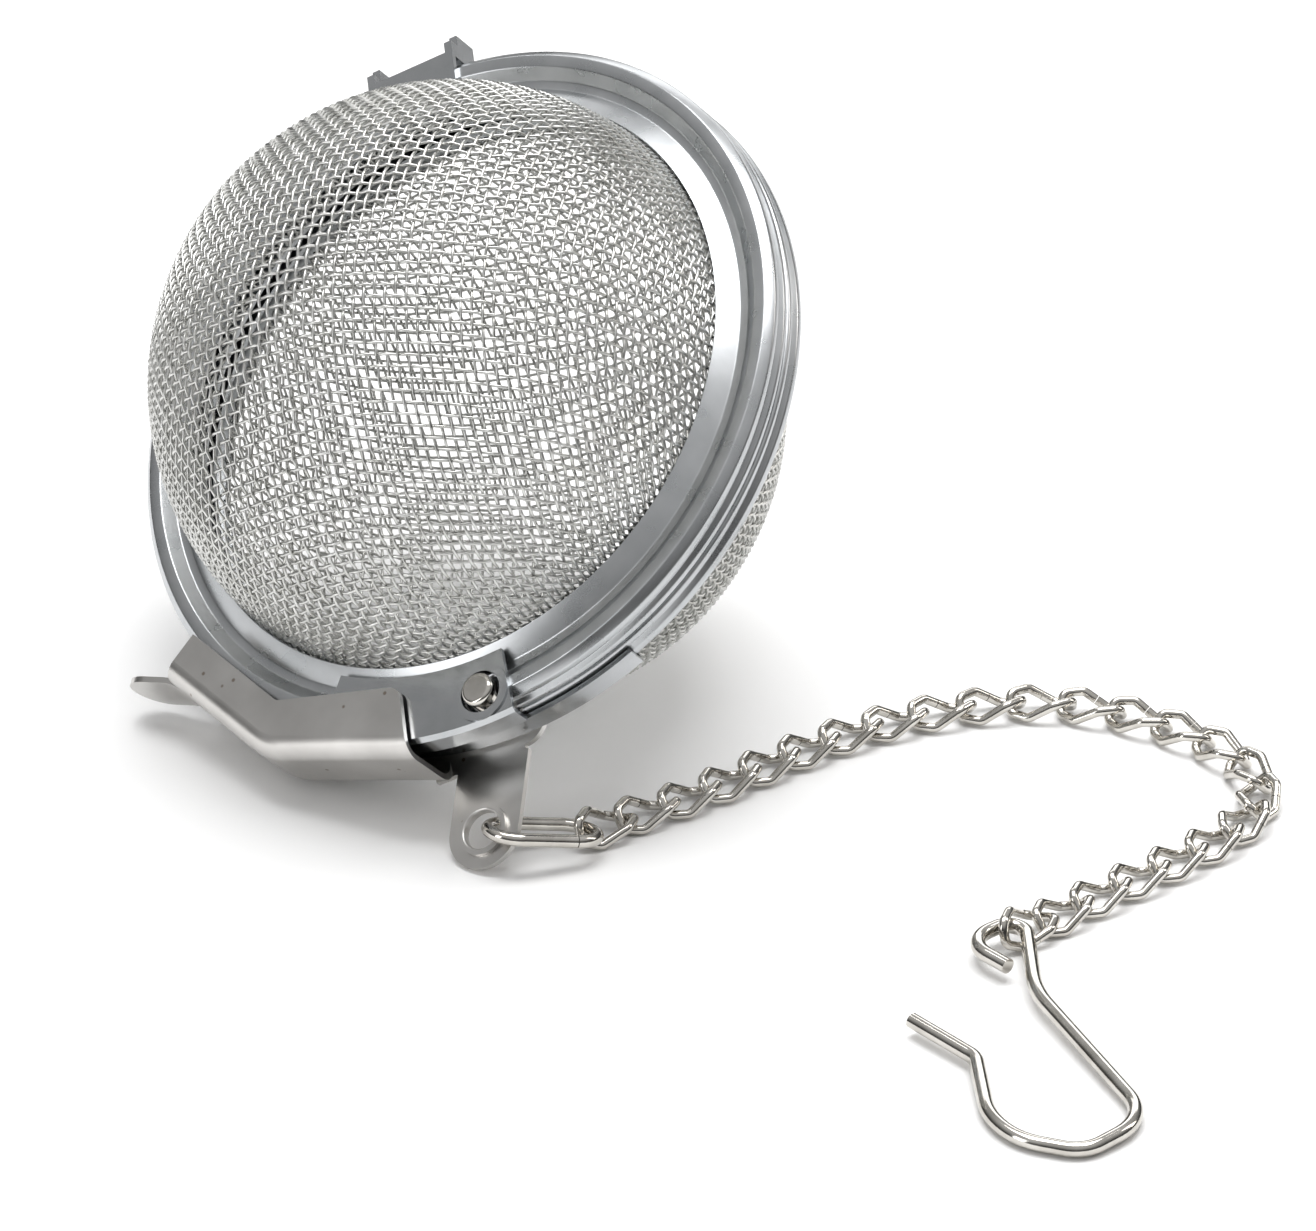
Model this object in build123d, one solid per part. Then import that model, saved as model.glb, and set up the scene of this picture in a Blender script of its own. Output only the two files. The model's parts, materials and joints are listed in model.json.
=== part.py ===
from build123d import *
from math import sin, cos, tan, radians, degrees, hypot, atan2
import os

# A mesh tea ball on a chain. Two woven half baskets, each clamped in a pressed
# rim, hinge at one side and are held shut by a clasp that swings on a rivet.
# A curb chain of 24 links and a cup hook hang from the clasp's tab.
# Millimetres. The ball is drawn about its own axis, with the parting plane of
# the two rims at height 0, +Z towards the front basket and +X towards the
# hinge, and is then leaned over to lie on the table beside its chain.

os.makedirs("parts", exist_ok=True)

# --- baskets and rims ---
dome_radius = 25.0        # outside of the woven basket
mesh_thickness = 0.5      # two crossed wires
dome_offset = 1.95        # dome centre, in front of the parting plane
rim_margin = 5.1          # rim beyond the basket
rim_crown = 2.67          # height of the rim's bead over the parting plane
rim_sheet = 0.4
parting_gap = 0.06        # half of the slit between the closed rims
lip_gap = 0.06            # rim lip to basket
lip_height = 0.30         # lip edge above the crown
lip_width = 1.7
bead_width = 2.55
hem_height = 0.65         # rolled hem at the parting plane
hem_groove = 0.4
crimp_width = 3.6
flange_width = 3.4

# --- latch plates and rivet ---
plate_sheet = 0.4
plate_margin = 1.0        # plates start this far outside the basket
front_plate_play = 1.4    # skirt to rim
front_plate_skirt = 2.15
back_plate_skirt = 2.3
plate_side_gap = 0.1
front_plate_start, front_plate_end = 150.0, 184.0
back_plate_start, back_plate_end = 150.0, 201.7
rivet_inset, rivet_y = 1.0, 0.45
post_radius = 1.4
post_hole_gap = 0.4       # the front plate drops over the post
post_rise = 0.55          # straight part of the post above the front plate
post_dome = 0.35
shank_radius = 0.9
pivot_gap = 0.06          # running fit of the clasp on the shank
tail_radius = 1.7
tail_height = 0.6
emboss_width = 0.7
emboss_height = 0.15

# --- hinge ---
hinge_reach = 1.65        # hinge axis beyond the rim
hinge_z = 0.2
bar_radius = 0.5
bar_gap = 0.1
leaf_sheet = 0.45
tongue_width = 6.4
cheek_width = 0.7
cheek_gap = 0.25
leaf_reach = 2.4          # leaf over the rim
leaf_side_gap = 0.25

# --- clasp ---
clasp_sheet = 0.5
clasp_front_gap = 0.35    # front wall over the front plate
clasp_back_gap = 0.05     # arm over the back plate
web_gap_right, web_normal_right = 0.4, 158.9
web_gap_left, web_normal_left = 0.8, 127.9
web_right_y = 7.4
web_left_run = 5.0
wall_reach_right, wall_reach_left = 5.6, 4.3
wall_inner_normal_right = 164.0
clasp_bend_front = 1.6
clasp_bend_back = 2.1
clasp_kink_radius = 6.0
wall_corner_radius = 1.2
thumb_width = 5.0
thumb_length = 5.6
thumb_flare = 28.0
thumb_bend_radius = 4.0
arm_boss_radius = 2.1
tab_width = 6.5
tab_heading = 164.5
tab_offset = 2.3          # tab's centreline to the rivet
tab_hole_height = 2.45    # over the table
tab_hole_radius = 1.65
tab_burr = 0.35
arm_reach = 2.8

# --- chain and hook ---
link_count = 24
link_pitch = 4.2
link_wire = 0.78
link_gap = 0.15           # play between two links
link_width = 2.9          # between wire centres
link_twist = 0.62
link_bend_radius = 0.75
link_butt = 0.06          # slit at the butt joint of a link
ring_wire = 1.1
ring_length = 9.0         # between wire centres
ring_width = 4.3
ring_butt = 0.08
hook_wire = 1.25

# --- lie on the table: the ball leans on its back basket ---
ball_heading = -46.4      # compass heading of the ball's axis, from -Y
ball_lean = 44.67         # the axis' angle above the table
ball_spin = 134.15        # turn about the axis, hinge side from level
ball_x, ball_y = -15.42, -11.21
ball_clearance = 0.03
# turns are heading, dip and roll; seats are from the piece before
ring_seat, ring_turn = (0.34, -1.43, 0.90), (16.93, 11.16, -10.22)
first_seat, first_turn = (0.66, 1.81, -0.25), (39.16, 5.87, 21.16)
last_seat, last_turn = (-1.44, -1.09, 0.30), (-135.0, -6.8, -26.3)
hook_seat, hook_turn = (-2.99, -1.55, 0.45), (0.0, 0.0, 1.72)
second_roll, next_last_roll = 4.1, -3.8
chain_height = 1.12
# the chain's route over the table, from the middle of its first link
chain_route = [(1.61, 1.49), (8.50, 6.27), (18.24, 14.24), (29.56, 19.70), (37.88, 20.27),
               (45.50, 16.86), (51.48, 11.02), (52.89, 7.06), (52.31, 2.90), (47.18, -3.69),
               (37.63, -11.91), (34.57, -14.78), (28.50, -21.00)]
# the hook's corners and the bend at each, from its eye round to its tip
hook_corners = [(-0.11, -5.68), (-3.47, -2.10), (1.43, 1.61), (1.89, -9.33), (9.76, -26.88),
                (4.70, -31.46), (-0.07, -29.86), (-2.35, -26.75), (-3.03, -18.60), (-7.77, -13.35)]
hook_bends = [2.35, 1.47, 10.9, 4.6, 2.8, 5.2, 7.2, 2.1]


def export(shape, name):
    shape.label = name
    export_step(shape, f"parts/{name}.step")


def turned(points, start=0.0, sweep_angle=360.0):
    """A solid of revolution from (radius, height) points."""
    face = Plane.XZ * make_face(Polyline(*points, close=True))
    solid = revolve(face, Axis.Z, revolution_arc=sweep_angle)
    return Rot(0, 0, start) * solid


def upright(x, y, radius, low, high):
    """A cylinder parallel to the ball's axis."""
    return Pos(x, y, (low + high) / 2) * Cylinder(radius, high - low)


def block(x0, x1, y0, y1, z0, z1):
    return Pos((x0 + x1) / 2, (y0 + y1) / 2, (z0 + z1) / 2) * Box(x1 - x0, y1 - y0, z1 - z0)


def flip(shape):
    return mirror(shape, about=Plane.XY)


# --- sizes that follow from the ones above ---
rim_radius = dome_radius + rim_margin
plate_inner = dome_radius + plate_margin
front_plate_outer = rim_radius + front_plate_play + plate_sheet
rivet_x = -(rim_radius - rivet_inset)
hinge_x = rim_radius + hinge_reach
leaf_inner = rim_radius - leaf_reach
web_distance_right = front_plate_outer + web_gap_right + clasp_sheet
web_distance_left = front_plate_outer + web_gap_left + clasp_sheet
wall_inner_right = web_distance_right - wall_reach_right
wall_inner_left = web_distance_left - wall_reach_left
arm_inner = rim_radius - arm_reach
post_hole = post_radius + post_hole_gap


def ball_plane():
    """The ball's own frame, leaned over so that the back basket rests on the table."""
    h, e = radians(ball_heading), radians(ball_lean)
    axis = Vector(sin(h) * cos(e), -cos(h) * cos(e), sin(e))
    level = Vector(0, 0, 1).cross(axis).normalized()
    uphill = axis.cross(level)
    s = radians(ball_spin)
    hinge_side = level * cos(s) + uphill * sin(s)
    height = dome_radius + dome_offset * sin(e) + ball_clearance
    return Plane(origin=(ball_x, ball_y, height), x_dir=hinge_side, z_dir=axis)


def lay(x, y, z, heading=0.0, dip=0.0, roll=0.0):
    """A place in the room: turned to a heading, its nose dipped, then rolled."""
    return Pos(x, y, z) * Rot(0, 0, heading) * Rot(0, dip, 0) * Rot(roll, 0, 0)


# --- rim section, worked out from the basket and the sheet ---
lip_radius = dome_radius + lip_gap
groove_radius = lip_radius + lip_width
crown_start = rim_radius - 1.65
crown_end = rim_radius - 0.65
seat_height = rim_crown - 0.82            # outside of the groove round the lip
flange_top = seat_height - rim_sheet
flange_low = flange_top - mesh_thickness
crimp_low = parting_gap + rim_sheet
hem_inner = rim_radius - hem_groove - rim_sheet


def rim():
    outside = [(lip_radius, rim_crown + lip_height), (groove_radius, seat_height),
               (groove_radius + 0.75, seat_height), (crown_start, rim_crown),
               (crown_end, rim_crown), (rim_radius, rim_crown - 0.6),
               (rim_radius, rim_crown - 1.15), (rim_radius - hem_groove, hem_height + 0.4),
               (rim_radius, hem_height), (rim_radius, parting_gap + 0.2),
               (rim_radius - 0.2, parting_gap)]
    inside = [(rim_radius - 1.5, parting_gap), (rim_radius - 1.5, crimp_low),
              (hem_inner, crimp_low), (hem_inner, hem_height + 0.5),
              (rim_radius - rim_sheet, rim_crown - 1.0), (rim_radius - rim_sheet, rim_crown - 0.8),
              (crown_end - 0.15, rim_crown - rim_sheet), (crown_start + 0.15, rim_crown - rim_sheet),
              (groove_radius + 0.9, flange_top), (groove_radius - 0.15, flange_top),
              (lip_radius, rim_crown + lip_height - rim_sheet)]
    body = turned(outside + inside)
    return body - upright(rivet_x, rivet_y, post_hole, 0, rim_crown + 1)


def basket():
    inner = dome_radius - mesh_thickness
    top = dome_offset + dome_radius
    with BuildPart() as part:
        with BuildSketch(Plane.XZ):
            with BuildLine():
                Polyline((0, top - mesh_thickness), (0, top))
                RadiusArc((0, top), (dome_radius, dome_offset), dome_radius)
                Polyline((dome_radius, dome_offset), (dome_radius, flange_top),
                         (dome_radius + flange_width, flange_top),
                         (dome_radius + flange_width, flange_low),
                         (inner, flange_low), (inner, dome_offset))
                RadiusArc((inner, dome_offset), (0, top - mesh_thickness), -inner)
            make_face()
        revolve(axis=Axis.Z)
    hole = upright(rivet_x, rivet_y, post_hole, 0, rim_crown)
    return part.part - hole


def crimp_ring():
    body = turned([(dome_radius + 0.2, crimp_low), (dome_radius + 0.2 + crimp_width, crimp_low),
                   (dome_radius + 0.2 + crimp_width, flange_low), (dome_radius + 0.2, flange_low)])
    return body - upright(rivet_x, rivet_y, post_hole, 0, rim_crown)


# --- latch plates: saddles over each rim, on the side away from the hinge ---
plate_top = rim_crown + plate_sheet


def front_latch_plate():
    skirt = front_plate_outer - plate_sheet
    low = plate_top - front_plate_skirt
    section = [(plate_inner, rim_crown), (skirt, rim_crown), (skirt, low),
               (front_plate_outer, low), (front_plate_outer, plate_top - 0.35),
               (front_plate_outer - 0.35, plate_top), (plate_inner, plate_top)]
    body = turned(section, front_plate_start, front_plate_end - front_plate_start)
    emboss = upright(rivet_x, rivet_y, post_hole + emboss_width, plate_top, plate_top + emboss_height)
    return body + emboss - upright(rivet_x, rivet_y, post_hole, 0, plate_top + 1)


def back_latch_plate():
    wall_in = rim_radius + plate_side_gap
    wall_out = wall_in + plate_sheet
    low = plate_top - back_plate_skirt
    section = [(plate_inner, rim_crown), (wall_in, rim_crown), (wall_in, low),
               (wall_out, low), (wall_out, plate_top - 0.4), (wall_out - 0.4, plate_top),
               (plate_inner, plate_top)]
    body = turned(section, back_plate_start, back_plate_end - back_plate_start)
    body -= upright(rivet_x, rivet_y, post_radius + 0.05, 0, rim_crown)
    return flip(body - upright(rivet_x, rivet_y, shank_radius, 0, plate_top + 1))


clasp_back_in = -plate_top - clasp_back_gap
clasp_back_out = clasp_back_in - clasp_sheet
clasp_front_in = plate_top + clasp_front_gap
clasp_front_out = clasp_front_in + clasp_sheet
clasp_back_mid = (clasp_back_in + clasp_back_out) / 2


def tab_hole():
    """Far enough down the tab to bring the hole to its height over the table."""
    a, frame = radians(tab_heading), ball_plane()
    along, across = Vector(cos(a), sin(a), 0), Vector(sin(a), -cos(a), 0)
    root = Vector(rivet_x, rivet_y, clasp_back_mid) + across * tab_offset
    drop = frame.from_local_coords(root).Z - tab_hole_height
    slope = (frame.from_local_coords(root) - frame.from_local_coords(root + along)).Z
    return root + along * (drop / slope)


tab_hole_x, tab_hole_y = tab_hole().X, tab_hole().Y


def rivet():
    head_base = plate_top + post_rise
    tail = clasp_back_out - pivot_gap
    body = upright(rivet_x, rivet_y, shank_radius, tail, -rim_crown)
    body += upright(rivet_x, rivet_y, post_radius, -rim_crown, head_base + post_dome)
    body += upright(rivet_x, rivet_y, tail_radius, tail - tail_height, tail)
    rims = body.edges().filter_by(GeomType.CIRCLE).sort_by(Axis.Z)
    return fillet([rims[0], rims[-1]], post_dome)


# --- hinge: a bar on the front leaf turns in the folded tongue of the back leaf ---
cheek_inner = tongue_width / 2 + cheek_gap
cheek_outer = cheek_inner + cheek_width
leaf_wall_in = rim_radius + leaf_side_gap
leaf_wall_out = leaf_wall_in + leaf_sheet


def front_hinge_leaf():
    top = rim_crown + leaf_sheet
    body = block(leaf_inner, leaf_wall_out, -cheek_outer, cheek_outer, rim_crown, top)
    body += block(leaf_wall_in, leaf_wall_out, -cheek_outer, cheek_outer, rim_crown - 0.45, top)
    for side in (-1, 1):
        y0, y1 = sorted((side * cheek_inner, side * cheek_outer))
        body += block(leaf_wall_in, hinge_x, y0, y1, hinge_z - bar_radius - 0.2, top)
        body += block(hinge_x, hinge_x + 1.0, y0, y1, hinge_z - bar_radius - 0.2, hinge_z + 1.9)
    bar = Pos(hinge_x, 0, hinge_z) * Rot(90, 0, 0) * Cylinder(bar_radius, 2 * cheek_inner)
    return body + bar


def back_hinge_leaf():
    half = tongue_width / 2
    inner = bar_radius + bar_gap
    outer = inner + leaf_sheet
    top = -rim_crown
    strip_low, strip_top = hinge_z - outer, hinge_z - inner
    body = block(leaf_inner, leaf_wall_out, -half, half, top - leaf_sheet, top)
    body += block(leaf_wall_in, leaf_wall_out, -half, half, top - leaf_sheet, strip_top)
    body += block(leaf_wall_in, hinge_x, -half, half, strip_low, strip_top)
    curl = Cylinder(outer, tongue_width) - Cylinder(inner, tongue_width)
    curl = Pos(hinge_x, 0, hinge_z) * Rot(90, 0, 0) * curl
    body += curl & block(hinge_x, hinge_x + 5, -half, half, -5, 5)
    fold_end = hinge_x - 0.7
    return body + block(fold_end, hinge_x, -half, half, hinge_z + inner, hinge_z + outer)


# --- clasp: one strip bent to a channel over both rims, with a thumb piece, ---
# --- a pivot arm behind the back rim and a tab for the chain ---
def on_chord(distance, normal, along):
    a = radians(normal)
    return Vector(distance * cos(a) - along * sin(a), distance * sin(a) + along * cos(a))


def chord_meet(d1, n1, d2, n2):
    a, b = radians(n1), radians(n2)
    det = cos(a) * sin(b) - sin(a) * cos(b)
    return Vector((d1 * sin(b) - d2 * sin(a)) / det, (d2 * cos(a) - d1 * cos(b)) / det)


def at_height(distance, normal, y):
    """The point of a chord that has the given y."""
    a = radians(normal)
    return Vector((distance - y * sin(a)) / cos(a), y)


web_right = at_height(web_distance_right, web_normal_right, web_right_y)
web_kink = chord_meet(web_distance_right, web_normal_right, web_distance_left, web_normal_left)
web_left = on_chord(web_distance_left, web_normal_left, -web_left_run)
left_run = (web_left - web_kink).normalized()
thumb_run = left_run.rotate(Axis.Z, thumb_flare)
thumb_tip = web_left + thumb_run * thumb_length


def channel():
    height = clasp_front_out - clasp_back_out
    depth = 8.0
    start = FilletPolyline(web_right, web_kink, web_left, radius=clasp_kink_radius)
    outer = Rectangle(2 * depth, height)
    inner = Rectangle(2 * depth - 2 * clasp_sheet, height - 2 * clasp_sheet)
    right = outer.vertices().group_by(Axis.X)[-1].sort_by(Axis.Y)
    outer = fillet(right[0], clasp_bend_back)
    right = outer.vertices().group_by(Axis.X)[-1].sort_by(Axis.Y)
    outer = fillet(right[-1], clasp_bend_front)
    right = inner.vertices().group_by(Axis.X)[-1].sort_by(Axis.Y)
    inner = fillet(right[0], clasp_bend_back - clasp_sheet)
    right = inner.vertices().group_by(Axis.X)[-1].sort_by(Axis.Y)
    inner = fillet(right[-1], clasp_bend_front - clasp_sheet)
    section = (outer - inner) & (Pos(depth / 2, 0) * Rectangle(depth, height))
    a = radians(web_normal_right)
    middle = (clasp_front_out + clasp_back_out) / 2
    base = web_right - Vector(cos(a), sin(a)) * depth + Vector(0, 0, middle)
    run = (web_kink - web_right).normalized()
    outward = Vector(cos(a), sin(a))
    place = Plane(origin=base, x_dir=outward, z_dir=outward.cross(Vector(0, 0, 1)))
    path = Pos(0, 0, middle) * start
    return sweep(place * section, path=path), run


def wall_outline():
    inner_right = at_height(wall_inner_right, wall_inner_normal_right, web_right_y)
    inner_kink = chord_meet(wall_inner_right, wall_inner_normal_right,
                            wall_inner_left, web_normal_left)
    inner_left = on_chord(wall_inner_left, web_normal_left, -web_left_run - 1.4)
    far = 40.0
    points = [inner_right, inner_kink, inner_left, web_left + left_run * 0.01,
              on_chord(far, web_normal_left, -web_left_run), chord_meet(
                  far, web_normal_right, far, web_normal_left),
              at_height(far, web_normal_right, web_right_y)]
    face = make_face(Polyline(*[(p.X, p.Y) for p in points], close=True))
    near = face.vertices().sort_by(lambda v: hypot(v.X, v.Y))
    return fillet(near[:3], wall_corner_radius)


def arm_outline():
    a = radians(tab_heading)
    along, across = Vector(cos(a), sin(a)), Vector(-sin(a), cos(a))
    end = Vector(tab_hole_x, tab_hole_y)
    run = (end - Vector(rivet_x, rivet_y)).dot(along) - 2.38
    start = end - along * run
    half = across * (tab_width / 2)
    corners = [start + half, end + half, end - half, start - half]
    shape = make_face(Polyline(*[(p.X, p.Y) for p in corners], close=True))
    shape += Pos(tab_hole_x, tab_hole_y) * Circle(tab_width / 2)
    shape += Pos(rivet_x, rivet_y) * Circle(arm_boss_radius)
    root = [(-arm_inner, rivet_y), (-arm_inner, web_right_y + 1.5),
            (-arm_inner - 4.2, web_right_y + 1.5), (-arm_inner - 4.2, rivet_y)]
    return shape + make_face(Polyline(*root, close=True))


def thumb():
    sheet = clasp_sheet
    shift = Vector(cos(radians(web_normal_left)), sin(radians(web_normal_left))) * (sheet / 2)
    path = FilletPolyline(web_left - left_run * 2.2 - shift, web_left - shift, thumb_tip - shift,
                          radius=thumb_bend_radius)
    strip = extrude(trace(path, sheet), amount=thumb_width)
    strip = Pos(0, 0, -thumb_width / 2) * strip
    centre = thumb_tip - shift - thumb_run * (thumb_width / 2)
    round_end = Plane(origin=(centre.X, centre.Y, 0), z_dir=thumb_run.cross(Vector(0, 0, 1)),
                      x_dir=thumb_run)
    disc = round_end * Cylinder(thumb_width / 2, 6)
    root = round_end * (Pos(-5, 0, 0) * Box(10, thumb_width, 8))
    return strip & (disc + root)


def clasp():
    body, _ = channel()
    tall = extrude(wall_outline(), amount=20)
    body = body & (Pos(0, 0, -10) * tall)
    arm = Pos(0, 0, clasp_back_out) * extrude(arm_outline(), amount=clasp_sheet)
    burr = upright(tab_hole_x, tab_hole_y, tab_hole_radius + 0.55,
                   clasp_back_in, clasp_back_in + tab_burr)
    body = body + arm + burr + thumb()
    body -= upright(rivet_x, rivet_y, shank_radius + pivot_gap, -8, 0)
    hole = upright(tab_hole_x, tab_hole_y, tab_hole_radius, -8, 0)
    body -= hole
    mouth = body.edges().filter_by(GeomType.CIRCLE).filter_by(
        lambda e: abs(e.radius - tab_hole_radius) < 1e-6).sort_by(Axis.Z)
    return fillet(mouth, 0.18)


# --- chain ---
def link_points():
    """Corners of a flattened oval whose two ends are twisted opposite ways."""
    reach = (link_pitch + link_wire + link_gap) / 2
    grow = 1 / cos(radians(22.5))
    points = []
    for k in range(8):
        t = radians(22.5 + 45 * k)
        rise = -link_twist if sin(2 * t) > 0 else link_twist
        points.append(Vector(reach * grow * cos(t), link_width / 2 * grow * sin(t), rise))
    return points


def bent_wire(points, radius, bend):
    """A round wire through the points, with its ends cut square."""
    path = FilletPolyline(*points, radius=bend)
    ends = Plane(origin=path @ 0, z_dir=path % 0)
    return sweep(ends * Circle(radius), path=path)


def chain_link():
    corners = link_points()
    middle = (corners[1] + corners[2]) / 2
    run = (corners[2] - corners[1]).normalized() * (link_butt / 2)
    ring = [middle + run] + corners[2:] + corners[:2] + [middle - run]
    return bent_wire(ring, link_wire / 2, link_bend_radius)


def jump_ring():
    x, y = ring_length / 2, ring_width / 2
    start, half = 2.2, ring_butt / 2
    path = [(start + half, -y, 0), (x, -y, 0), (x, y, 0), (-x, y, 0), (-x, -y, 0),
            (start - half, -y, 0)]
    return bent_wire(path, ring_wire / 2, y - 0.002)


def cup_hook():
    return bent_wire([(x, y, 0) for x, y in hook_corners], hook_wire / 2, hook_bends)


def chain_pivots(first):
    """Points one pitch apart along the route, one between each two links."""
    route = Spline(*[first + Vector(x, y, 0) for x, y in chain_route])
    pivots, t = [route @ 0], 0.0
    while len(pivots) < link_count - 1:
        low, high = t, min(1.0, t + 0.12)
        for _ in range(40):
            t = (low + high) / 2
            if (route @ t - pivots[-1]).length < link_pitch:
                low = t
            else:
                high = t
        pivots.append(route @ t)
    return pivots


# --- everything in its place ---
ball = ball_plane()
shapes = {"back_mesh_dome": flip(basket()), "back_rim": flip(rim()),
          "back_crimp_ring": flip(crimp_ring()), "back_hinge_leaf": back_hinge_leaf(),
          "back_latch_plate": back_latch_plate(), "rivet": rivet(),
          "front_mesh_dome": basket(), "front_rim": rim(), "front_crimp_ring": crimp_ring(),
          "front_hinge_leaf": front_hinge_leaf(), "front_latch_plate": front_latch_plate(),
          "clasp": clasp()}
shapes = {name: ball.location * shape for name, shape in shapes.items()}

hole = ball.from_local_coords(tab_hole())
ring_near = Pos(*(hole + Vector(*ring_seat))) * lay(0, 0, 0, *ring_turn)
ring_far = (ring_near * Pos(ring_length, 0, 0)).position
shapes["jump_ring"] = ring_near * Pos(ring_length / 2, 0, 0) * jump_ring()

one_link = chain_link()
first_middle = ring_far + Vector(*first_seat)
table_first = Vector(first_middle.X, first_middle.Y, chain_height)
pivots = chain_pivots(table_first)
link_places = [lay(*first_middle, *first_turn)]
for a, b in zip(pivots, pivots[1:]):
    link_places.append(lay(*((a + b) / 2), degrees(atan2(b.Y - a.Y, b.X - a.X))))
link_places.append(lay(*(pivots[-1] + Vector(*last_seat)), *last_turn))
link_places[1] = link_places[1] * Rot(second_roll, 0, 0)
link_places[-2] = link_places[-2] * Rot(next_last_roll, 0, 0)
for number, place in enumerate(link_places, 1):
    shapes[f"chain_link_{number:02d}"] = place * one_link
hook_place = lay(*(pivots[-1] + Vector(*hook_seat)), *hook_turn)
shapes["cup_hook"] = hook_place * cup_hook()

# the origin goes to the middle of the whole, on the table
boxes = [shape.bounding_box() for shape in shapes.values()]
shift = Vector(-(min(b.min.X for b in boxes) + max(b.max.X for b in boxes)) / 2,
               -(min(b.min.Y for b in boxes) + max(b.max.Y for b in boxes)) / 2,
               -min(b.min.Z for b in boxes))
for name, shape in shapes.items():
    export(Pos(*shift) * shape, name)
print("shift", shift, "nodes", len(shapes))
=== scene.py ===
# A stainless tea infuser ball with its chain and cup hook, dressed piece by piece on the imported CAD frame.
import json
import math

import bmesh
import bpy
from mathutils import Matrix, Vector


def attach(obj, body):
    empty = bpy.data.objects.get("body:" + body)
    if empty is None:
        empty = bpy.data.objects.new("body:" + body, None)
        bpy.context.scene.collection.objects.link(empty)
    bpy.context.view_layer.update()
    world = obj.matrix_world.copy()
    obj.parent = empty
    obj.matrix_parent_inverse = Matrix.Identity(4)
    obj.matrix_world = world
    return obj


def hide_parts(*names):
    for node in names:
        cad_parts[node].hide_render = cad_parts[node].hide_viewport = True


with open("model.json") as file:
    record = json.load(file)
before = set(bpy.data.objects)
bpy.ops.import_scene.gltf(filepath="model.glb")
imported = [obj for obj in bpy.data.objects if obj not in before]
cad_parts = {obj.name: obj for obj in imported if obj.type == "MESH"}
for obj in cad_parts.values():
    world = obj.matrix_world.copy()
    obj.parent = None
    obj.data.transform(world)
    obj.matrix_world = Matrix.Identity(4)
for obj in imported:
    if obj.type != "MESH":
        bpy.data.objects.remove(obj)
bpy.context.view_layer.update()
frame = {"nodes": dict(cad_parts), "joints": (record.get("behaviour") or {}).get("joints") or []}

# The camera stands level in front of the ball, 0.7 m away, and looks down at it through a long lens.
# It is aimed at the table between the clasp and the chain.
aim = Vector((-0.003491, 0.033902, 0.000037))
camera_distance = 0.7
look_down = math.radians(28.6)
towards_camera = Vector((0.0, -math.cos(look_down), math.sin(look_down)))
camera = bpy.data.objects.new("camera", bpy.data.cameras.new("camera"))
bpy.context.collection.objects.link(camera)
bpy.context.scene.camera = camera
camera.data.sensor_fit = "HORIZONTAL"
camera.data.sensor_width = 36.0
camera.data.lens = 227.9
camera.data.clip_start = 0.05
camera.location = aim + camera_distance * towards_camera
camera.rotation_euler = (math.pi / 2 - look_down, 0.0, 0.0)

# The table is a sheet of white paper, much larger than the object, with a matt, even, slightly fibrous surface.
# It is a backdrop and isn't part of the object.
mm = 0.001
table_half_width = 1.6
table_drop = 0.02 * mm
paper_fibre = 1.11 * mm


def linear(code):
    """An sRGB hex colour as the linear values that a shader takes."""
    parts = [int(code[k:k + 2], 16) / 255 for k in (0, 2, 4)]
    return [p / 12.92 if p <= 0.04045 else ((p + 0.055) / 1.055) ** 2.4 for p in parts] + [1.0]


def add(tree, kind, settings=None, links=None):
    """A new node with its sockets or properties set and its inputs linked."""
    node = tree.nodes.new(kind)
    for name, value in (settings or {}).items():
        if name in node.inputs:
            node.inputs[name].default_value = value
        else:
            setattr(node, name, value)
    for name, source in (links or {}).items():
        tree.links.new(source, node.inputs[name])
    return node


def between(tree, value, low, dark, high, light):
    """A ramp from one colour to another as the value goes from low to high."""
    ramp = add(tree, "ShaderNodeValToRGB", None, {"Fac": value})
    for end, position, code in zip(ramp.color_ramp.elements, (low, high), (dark, light)):
        end.position = position
        end.color = linear(code)
    return ramp


def finish(name, bm, material):
    """A smooth-shaded object at the origin from a finished bmesh."""
    mesh = bpy.data.meshes.new(name)
    bm.to_mesh(mesh)
    bm.free()
    mesh.shade_smooth()
    mesh.materials.append(material)
    piece = bpy.data.objects.new(name, mesh)
    bpy.context.collection.objects.link(piece)
    return piece


paper = bpy.data.materials.new("white_paper")
paper.use_nodes = True
tree = paper.node_tree
place = add(tree, "ShaderNodeTexCoord")
fibre = add(tree, "ShaderNodeTexNoise", {"Scale": 1 / paper_fibre}, {"Vector": place.outputs["Object"]})
relief = add(tree, "ShaderNodeBump", {"Strength": 0.02, "Distance": 0.1 * mm}, {"Height": fibre.outputs["Fac"]})
shader = tree.nodes["Principled BSDF"]
shader.inputs["Base Color"].default_value = linear("fbfbfb")
shader.inputs["Roughness"].default_value = 0.9
shader.inputs["Specular IOR Level"].default_value = 0.1
tree.links.new(relief.outputs["Normal"], shader.inputs["Normal"])
bm = bmesh.new()
bmesh.ops.create_grid(bm, x_segments=4, y_segments=4, size=table_half_width)
bmesh.ops.translate(bm, vec=(0.0, 0.0, -table_drop), verts=bm.verts)
table = finish("table", bm, paper)

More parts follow.
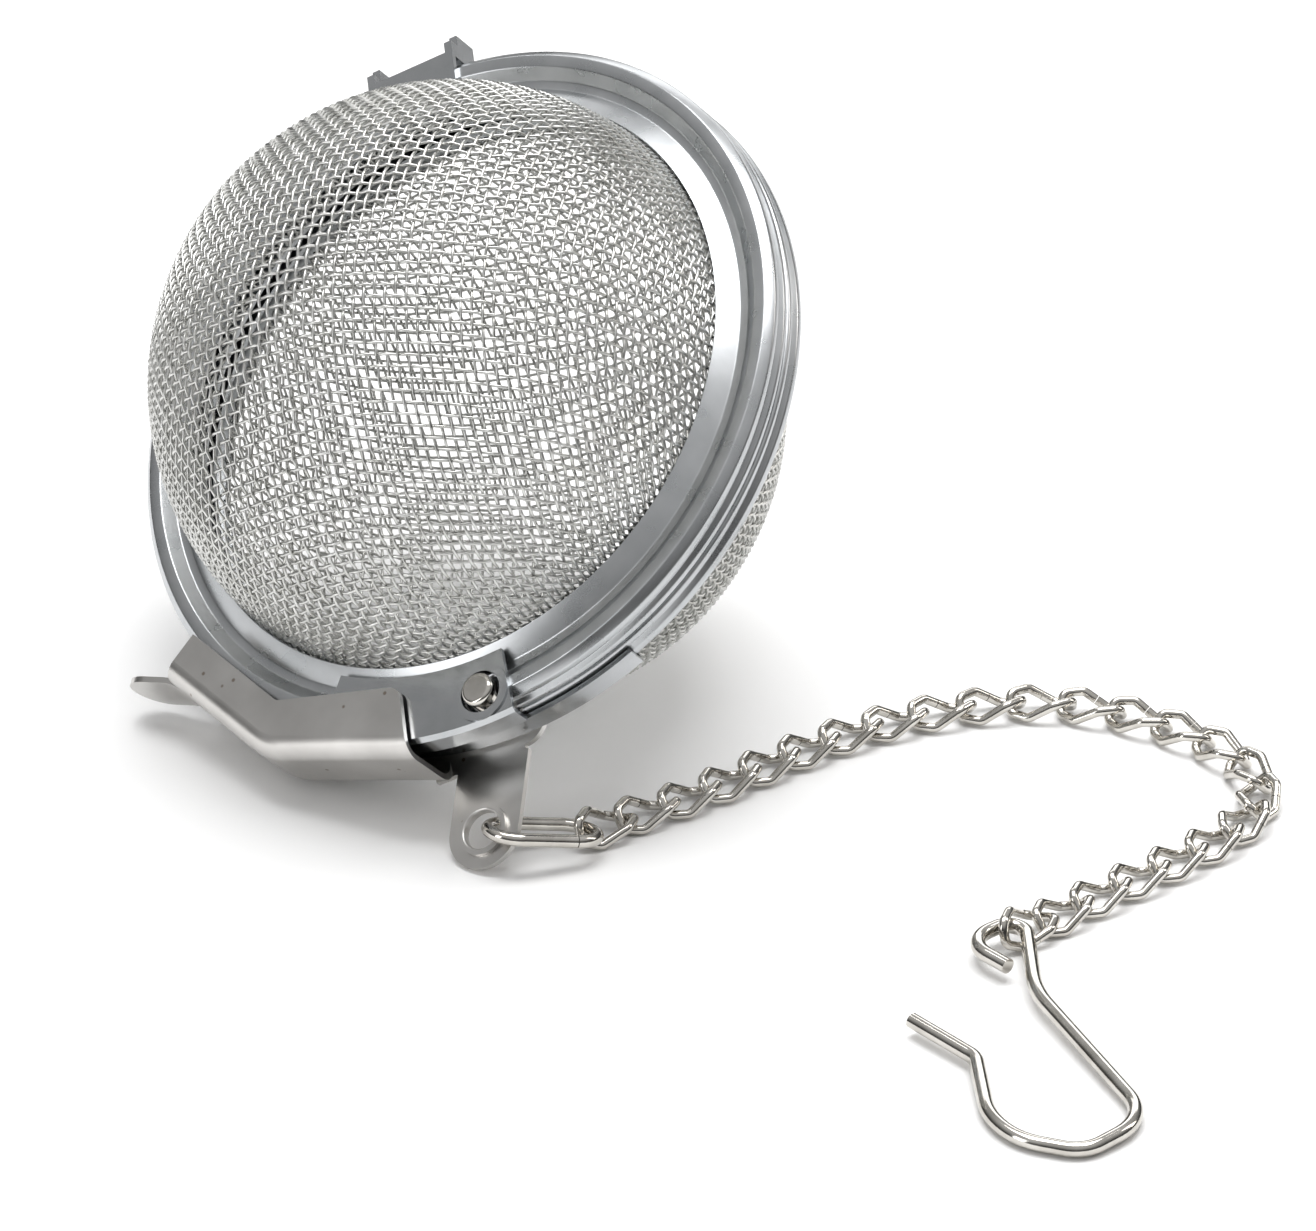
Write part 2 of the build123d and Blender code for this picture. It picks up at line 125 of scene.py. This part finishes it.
# The light is a soft box overhead, one at each side and one behind, in a room that is darker near the floor.
# The steel shows them as bright and dark bands, and the paper stays white with hardly any shadow.
lit_point = Vector((0.0, 0.02, 0.02))
bpy.context.scene.view_settings.view_transform = "Standard"
world = bpy.data.worlds.new("room")
bpy.context.scene.world = world
world.use_nodes = True
tree = world.node_tree
direction = add(tree, "ShaderNodeTexCoord")
height = add(tree, "ShaderNodeSeparateXYZ", None, {"Vector": direction.outputs["Generated"]})
walls = between(tree, height.outputs["Z"], 0.0, "3a3938", 0.75, "c8c8c8")
walls.color_ramp.elements.new(0.3).color = linear("5e5e5e")
tree.links.new(walls.outputs["Color"], tree.nodes["Background"].inputs["Color"])
tree.nodes["Background"].inputs["Strength"].default_value = 1.0
for name, spot, width, depth, power, tint in (
        ("top_box", (0.0, 0.15, 0.9), 0.8, 0.6, 7.6, "ffffff"),
        ("left_box", (-0.75, -0.45, 0.28), 0.3, 0.5, 1.6, "ffffff"),
        ("right_box", (0.8, 0.25, 0.5), 0.2, 0.5, 1.3, "fffaf4"),
        ("back_box", (0.0, 0.85, 0.5), 0.9, 0.3, 1.8, "ffffff")):
    lamp = bpy.data.lights.new(name, "AREA")
    lamp.shape = "RECTANGLE"
    lamp.size, lamp.size_y = width, depth
    lamp.energy = power
    lamp.color = linear(tint)[:3]
    holder = bpy.data.objects.new(name, lamp)
    bpy.context.collection.objects.link(holder)
    holder.location = spot
    holder.rotation_euler = (Vector(spot) - lit_point).to_track_quat("Z", "Y").to_euler()

# The two baskets are domes pressed from plain-woven stainless wire cloth, about 28 meshes to the inch.
# The cloth keeps its square weave over the crown and shears towards the rim, where its edge is crimped.
# Every wire is a round drawn wire that goes over and under its neighbours.
hinge_distance = 31.75 * mm      # hinge axis from the ball's axis
hinge_height = 0.2 * mm          # hinge axis over the parting plane
wire_radius = 0.125 * mm
wire_sides = 6
cloth_radius = 24.75 * mm        # middle of the cloth
dome_offset = 1.95 * mm          # dome's centre from the parting plane
cloth_edge = -0.45 * mm          # cut edge of the cloth, below the dome's centre
warp_step = 0.86 * mm / cloth_radius
weft_step = 0.94 * mm / cloth_radius
net_reach = 50                   # wires each side of the crown, enough to pass the edge
cloth_skew = math.radians(1.5)
back_cloth_turn = math.radians(9.0)
merge_distance = 0.0001 * mm

joints = {joint["name"]: joint for joint in frame["joints"]}
ball_axis = Vector(joints["clasp_pivot"]["axis"]).normalized()
hinge_line = Vector(joints["lid_hinge"]["axis"]).normalized()
hinge_side = hinge_line.cross(ball_axis).normalized()
ball_centre = Vector(joints["lid_hinge"]["pos_m"]) - hinge_distance * hinge_side - hinge_height * ball_axis
ball = Matrix.Translation(ball_centre) @ Matrix((hinge_side, hinge_line, ball_axis)).transposed().to_4x4()


def steel(name, dark, light, patch, glossiest, dullest, low=0.25, high=0.75, detail=4.0,
          grain=None, relief=0.0):
    """Bare steel: patches of slightly different tint and gloss, and a fine grain over them."""
    material = bpy.data.materials.new(name)
    material.use_nodes = True
    tree = material.node_tree
    place = add(tree, "ShaderNodeTexCoord")
    cloud = add(tree, "ShaderNodeTexNoise", {"Scale": 1 / patch, "Detail": detail},
                {"Vector": place.outputs["Object"]})
    tint = between(tree, cloud.outputs["Fac"], low, dark, high, light)
    gloss = add(tree, "ShaderNodeMapRange", {"To Min": glossiest, "To Max": dullest},
                {"Value": cloud.outputs["Fac"]})
    shader = tree.nodes["Principled BSDF"]
    shader.inputs["Metallic"].default_value = 1.0
    tree.links.new(tint.outputs["Color"], shader.inputs["Base Color"])
    tree.links.new(gloss.outputs["Result"], shader.inputs["Roughness"])
    if grain:
        marks = add(tree, "ShaderNodeTexNoise", {"Scale": 1 / grain, "Detail": 2.0},
                    {"Vector": place.outputs["Object"]})
        bump = add(tree, "ShaderNodeBump", {"Strength": relief, "Distance": 0.02 * mm},
                   {"Height": marks.outputs["Fac"]})
        tree.links.new(bump.outputs["Normal"], shader.inputs["Normal"])
    return material


# drawn stainless wire: bright, with a faint film that dulls it in patches
wire_steel = steel("drawn_stainless_wire", "bdbdb9", "dededc", patch=1.4286 * mm, glossiest=0.22, dullest=0.36,
                   low=0.3, high=0.7, detail=3.0)


def crossings(apex, along, across):
    """Where the wires cross on a ball of radius 1: each point closes a skewed square with three neighbours."""
    net = {(0, 0): apex}
    for a in (1, -1):
        for b in (1, -1):
            for i in range(net_reach + 1):
                for j in range(net_reach + 1):
                    if i and j:
                        turn = (net[a * (i - 1), b * j] + net[a * i, b * (j - 1)]).normalized()
                        corner = net[a * (i - 1), b * (j - 1)]
                        net[a * i, b * j] = 2 * corner.dot(turn) * turn - corner
                    elif i or j:
                        angle = i * warp_step or j * weft_step
                        line = a * along if i else b * across
                        net[a * i, b * j] = apex * math.cos(angle) + line * math.sin(angle)
    return net


def wire_rings(apex, points, first_over):
    """Middle, outward and sideways directions of a wire's rings, two to a crossing, over and under by turns."""
    path = []
    for k, point in enumerate(points):
        over = 1 if (k + first_over) % 2 else -1
        path.append(point * (cloth_radius + over * wire_radius))
        if k < len(points) - 1:
            path.append((point + points[k + 1]).normalized() * cloth_radius)
    rings = []
    for k, point in enumerate(path):
        ahead = path[min(k + 1, len(path) - 1)] - path[max(k - 1, 0)]
        side = ahead.cross(point).normalized()
        rings.append((point, side.cross(ahead).normalized(), side))
    return rings


def lay_wires(name, centre, apex, net, crosswise, body):
    """One set of wires of a dome: straight sheets rolled to tubes and laid along the net's lines."""
    bm = bmesh.new()
    low = cloth_edge / cloth_radius - warp_step

    def at(k, line):
        return net[(line, k) if crosswise else (k, line)]

    for line in range(-net_reach, net_reach + 1):
        if at(0, line).dot(apex) < low:
            continue
        first, last = 0, 0
        while first > -net_reach and at(first, line).dot(apex) > low:
            first -= 1
        while last < net_reach and at(last, line).dot(apex) > low:
            last += 1
        points = [at(k, line) for k in range(first, last + 1)]
        rings = wire_rings(apex, points, first + line + crosswise)
        steps = len(rings) - 1
        sheet = bmesh.ops.create_grid(bm, x_segments=steps, y_segments=wire_sides, size=1.0)
        for vert in sheet["verts"]:
            middle, out, side = rings[round((vert.co.x + 1) / 2 * steps)]
            angle = math.pi * vert.co.y
            vert.co = centre + middle + wire_radius * (math.cos(angle) * out + math.sin(angle) * side)
    bmesh.ops.remove_doubles(bm, verts=bm.verts, dist=merge_distance)
    bmesh.ops.bisect_plane(bm, geom=bm.verts[:] + bm.edges[:] + bm.faces[:], dist=merge_distance,
                           plane_co=centre + apex * cloth_edge, plane_no=apex, clear_inner=True)
    bmesh.ops.holes_fill(bm, edges=[edge for edge in bm.edges if edge.is_boundary], sides=0)
    bmesh.ops.recalc_face_normals(bm, faces=bm.faces)
    wires = finish(name, bm, wire_steel)
    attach(wires, body)
    return wires


to_crown = towards_camera.rotation_difference(ball_axis)
square = Matrix.Rotation(cloth_skew, 3, towards_camera)
across_cloth = to_crown @ (square @ Vector((1.0, 0.0, 0.0)))
down_cloth = to_crown @ (square @ Vector((0.0, -math.sin(look_down), -math.cos(look_down))))
back_turn = Matrix.Rotation(back_cloth_turn, 3, ball_axis)
for half, side, along, across in (("front", 1, across_cloth, down_cloth),
                                  ("back", -1, back_turn @ across_cloth, back_turn @ down_cloth)):
    apex = side * ball_axis
    centre = ball_centre + apex * dome_offset
    net = crossings(apex, along, across)
    warp = lay_wires(half + "_warp_wires", centre, apex, net, 0, half + "_half")
    lay_wires(half + "_weft_wires", centre, apex, net, 1, half + "_half")
    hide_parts(half + "_mesh_dome")

# The two rims are rings spun and pressed from 0.4 mm stainless sheet, satin outside.
# Each has a lip that stands up round the basket, a groove, a rounded bead and a rolled hem at the parting.
# A round hole near the clasp lets the rivet's post through.
rim_section = [(25.06, 2.97), (26.76, 1.85), (27.51, 1.85), (28.45, 2.67), (29.45, 2.67), (30.1, 2.07),
               (30.1, 1.52), (29.7, 1.05), (30.1, 0.65), (30.1, 0.26), (29.9, 0.06), (28.6, 0.06),
               (28.6, 0.46), (29.3, 0.46), (29.3, 1.15), (29.7, 1.67), (29.7, 1.87), (29.3, 2.27),
               (28.6, 2.27), (27.66, 1.45), (26.61, 1.45), (25.06, 2.57)]
rim_rounding = 0.14 * mm
rim_steps = 240
rivet_place = Vector((-29.1 * mm, 0.45 * mm, 0.0))
rivet_hole_radius = 1.8 * mm
cutter_length = 10 * mm

# satin stainless sheet: soft wide highlights, and a very fine grain left by the spinning
satin_steel = steel("satin_spun_stainless", "b0b3b5", "c3c5c7", patch=3.846 * mm, glossiest=0.24, dullest=0.32,
                    grain=0.2222 * mm, relief=0.12)

for half, side in (("front", 1), ("back", -1)):
    bm = bmesh.new()
    corners = [bm.verts.new((radius * mm, 0.0, side * height * mm)) for radius, height in rim_section]
    for k, corner in enumerate(corners):
        bm.edges.new((corner, corners[(k + 1) % len(corners)]))
    bmesh.ops.bevel(bm, geom=corners, offset=rim_rounding, offset_type="OFFSET", segments=3, profile=0.5,
                    affect="VERTICES", clamp_overlap=True, material=-1)
    bmesh.ops.spin(bm, geom=bm.verts[:] + bm.edges[:], cent=(0, 0, 0), axis=(0, 0, 1), angle=2 * math.pi,
                   steps=rim_steps, use_merge=True)
    bmesh.ops.remove_doubles(bm, verts=bm.verts, dist=merge_distance)
    bmesh.ops.recalc_face_normals(bm, faces=bm.faces)
    ring = finish(half + "_rim_ring", bm, satin_steel)
    bm = bmesh.new()
    bmesh.ops.create_cone(bm, cap_ends=True, segments=64, radius1=rivet_hole_radius, radius2=rivet_hole_radius,
                          depth=cutter_length)
    bmesh.ops.translate(bm, vec=rivet_place, verts=bm.verts)
    cutter = finish("hole_cutter", bm, satin_steel)
    cut = ring.modifiers.new("hole", "BOOLEAN")
    cut.operation = "DIFFERENCE"
    cut.solver = "EXACT"
    cut.object = cutter
    holed = bpy.data.meshes.new_from_object(ring.evaluated_get(bpy.context.evaluated_depsgraph_get()))
    ring.modifiers.clear()
    ring.data = holed
    bpy.data.objects.remove(cutter)
    holed.transform(ball)
    holed.shade_smooth()
    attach(ring, half + "_half")
    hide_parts(half + "_rim")

# Inside each rim a flat crimp ring of the same sheet holds the edge of the wire cloth.
# It is pressed in, and shows only when the ball is open.


def dress(material, *nodes):
    """The CAD nodes keep their shape and take this finish."""
    for node in nodes:
        for held in frame["nodes"][node].material_slots:
            held.material = material


dress(satin_steel, "front_crimp_ring", "back_crimp_ring")

# The hinge is two bent leaves of sheet round a short bar, welded to the rims.
# The latch plates are rolled sheet folded over the rims, the front one with an embossed ring for the rivet.
# bright rolled sheet: sharper reflections than the satin rims, with faint rolling marks
plate_steel = steel("bright_rolled_stainless", "b0b3b5", "c3c5c7", patch=3.846 * mm, glossiest=0.14,
                    dullest=0.24, grain=0.2222 * mm, relief=0.12)
dress(plate_steel, "front_hinge_leaf", "back_hinge_leaf", "front_latch_plate", "back_latch_plate")

# The clasp is one blank of 0.5 mm stainless sheet, folded round the rims and turned about the rivet.
# Its arm runs on to the tab that holds the jump ring. Its outside is satin, with a few tiny brown specks.
speck_spacing = 2.381 * mm
# satin sheet with specks: the steel's own finish, with a brown dot in the middle of some cells
clasp_steel = steel("satin_sheet_with_specks", "c3c1be", "d6d4d1", patch=5 * mm, glossiest=0.24, dullest=0.38,
                    grain=0.25 * mm, relief=0.1)
tree = clasp_steel.node_tree
shader = tree.nodes["Principled BSDF"]
sheet_colour = shader.inputs["Base Color"].links[0].from_socket
place = add(tree, "ShaderNodeTexCoord")
cells = add(tree, "ShaderNodeTexVoronoi", {"Scale": 1 / speck_spacing}, {"Vector": place.outputs["Object"]})
speck = add(tree, "ShaderNodeMapRange", {"From Min": 0.05, "From Max": 0.09, "To Min": 0.65, "To Max": 0.0},
            {"Value": cells.outputs["Distance"]})
speckled = add(tree, "ShaderNodeMix", {"data_type": "RGBA"})
factor, first_colour, second_colour = (speckled.inputs[k] for k in (0, 6, 7))
tree.links.new(speck.outputs["Result"], factor)
tree.links.new(sheet_colour, first_colour)
second_colour.default_value = linear("6f5638")
tree.links.new(speckled.outputs[2], shader.inputs["Base Color"])
dress(clasp_steel, "clasp")

# The rivet, the jump ring, the chain's 24 links and the cup hook are bright drawn stainless wire.
# The links and the ring are bent round and left with a butt joint, and the hook is bent from one length.
# polished wire: near-mirror, with a faint warm cast and drawing marks
link_count = 24
bright_steel = steel("polished_stainless_wire", "b9b5ae", "d8d5cf", patch=2 * mm, glossiest=0.07, dullest=0.17,
                     detail=3.0, grain=0.4 * mm, relief=0.06)
dress(bright_steel, "rivet", "jump_ring", "cup_hook")
for k in range(1, link_count + 1):
    dress(bright_steel, "chain_link_%02d" % k)
